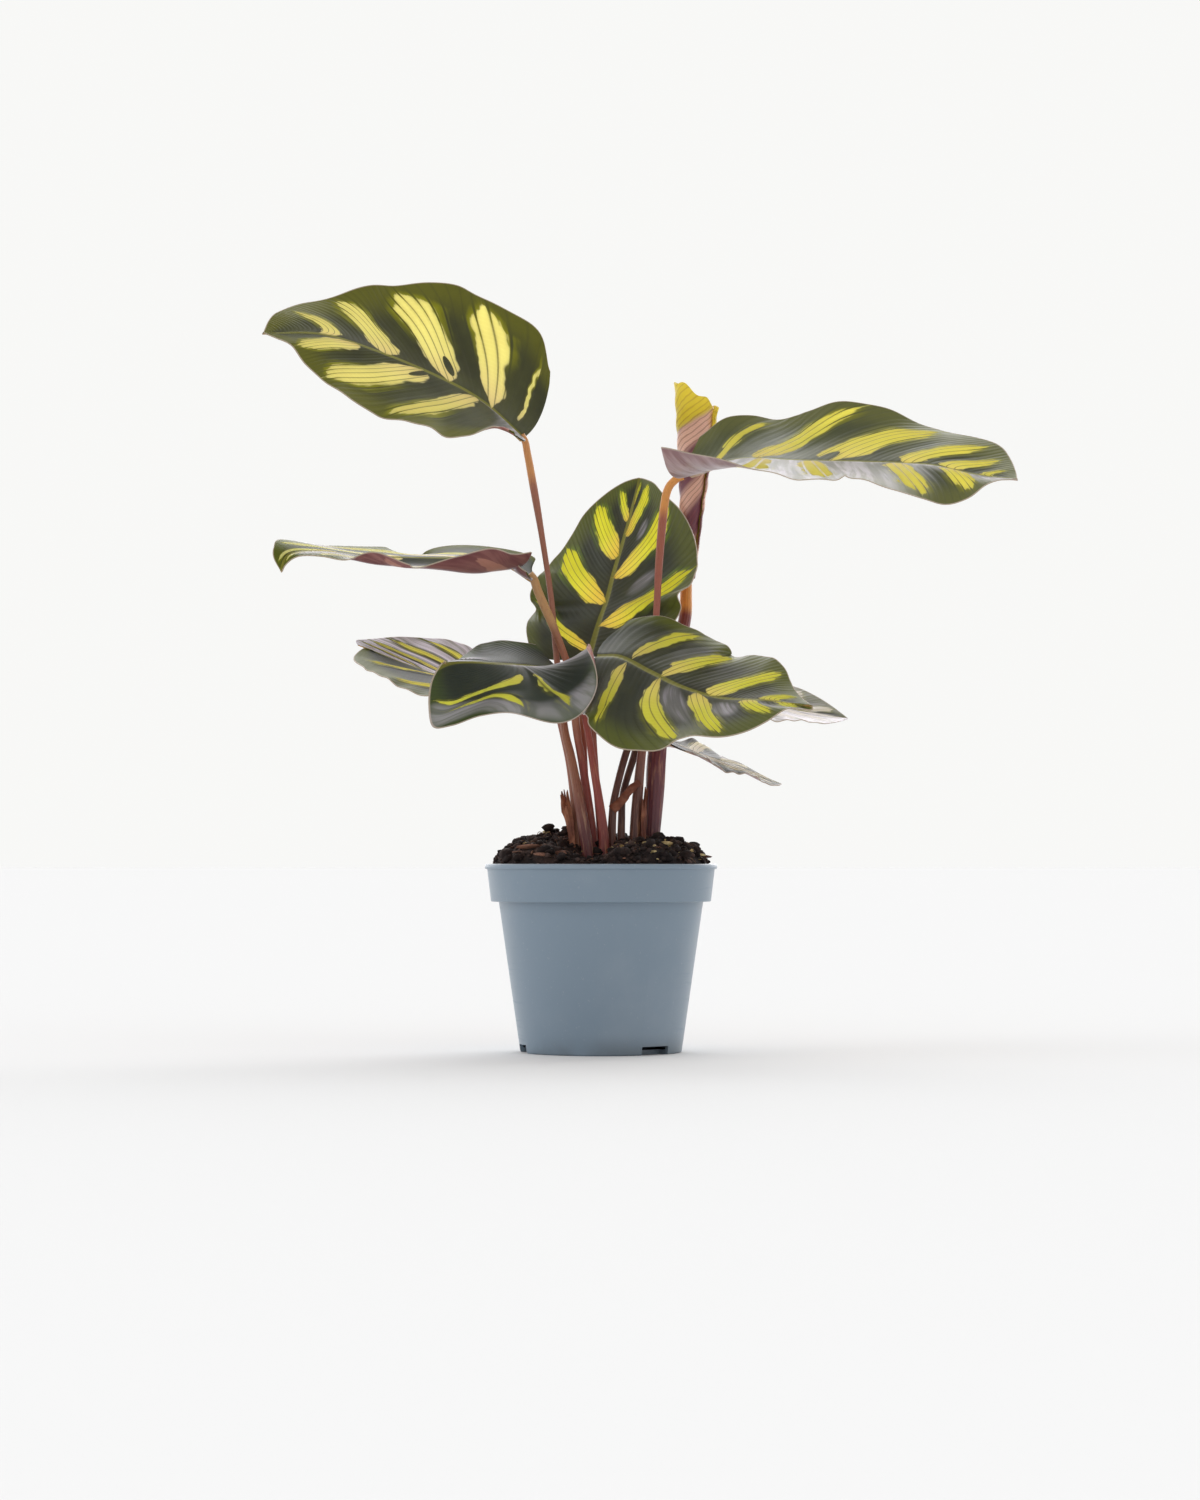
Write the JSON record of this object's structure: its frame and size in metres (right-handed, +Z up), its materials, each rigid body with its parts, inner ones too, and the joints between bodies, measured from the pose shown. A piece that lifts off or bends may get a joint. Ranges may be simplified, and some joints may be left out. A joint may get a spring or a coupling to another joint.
{
  "type": "potted peacock plant",
  "caption": "A small peacock plant with patterned oval leaves on slim stalks, in a grey nursery pot",
  "frame": {"origin": "the centre of the pot's foot", "axes": "X to the right and Y to the back as seen from the front, Z up"},
  "size_m": [0.1894, 0.1056, 0.1987],
  "materials": {
    "pot_plastic": "satin",
    "peat_soil": "matte",
    "leaf_green": "satin",
    "stalk_brown": "satin",
    "new_leaf": "satin",
    "sheath_maroon": "satin",
    "dry_scale": "matte"
  },
  "bodies": {
    "root": {"pot": "pot_plastic", "soil": "peat_soil", "blade_top_left": "leaf_green", "stalk_top_left": "stalk_brown", "blade_top_right": "leaf_green", "stalk_top_right": "stalk_brown", "blade_middle_left": "leaf_green", "stalk_middle_left": "stalk_brown", "blade_left_back": "leaf_green", "stalk_left_back": "stalk_brown", "blade_left_front": "leaf_green", "stalk_left_front": "stalk_brown", "blade_centre": "leaf_green", "stalk_centre": "stalk_brown", "blade_right_front": "leaf_green", "stalk_right_front": "stalk_brown", "blade_right_back": "leaf_green", "stalk_right_back": "stalk_brown", "blade_lower_right": "leaf_green", "stalk_lower_right": "stalk_brown", "blade_rolled": "new_leaf", "stalk_rolled": "sheath_maroon", "scale_left": "dry_scale", "scale_right": "dry_scale", "scale_bridge": "dry_scale"}
  },
  "joints": []
}
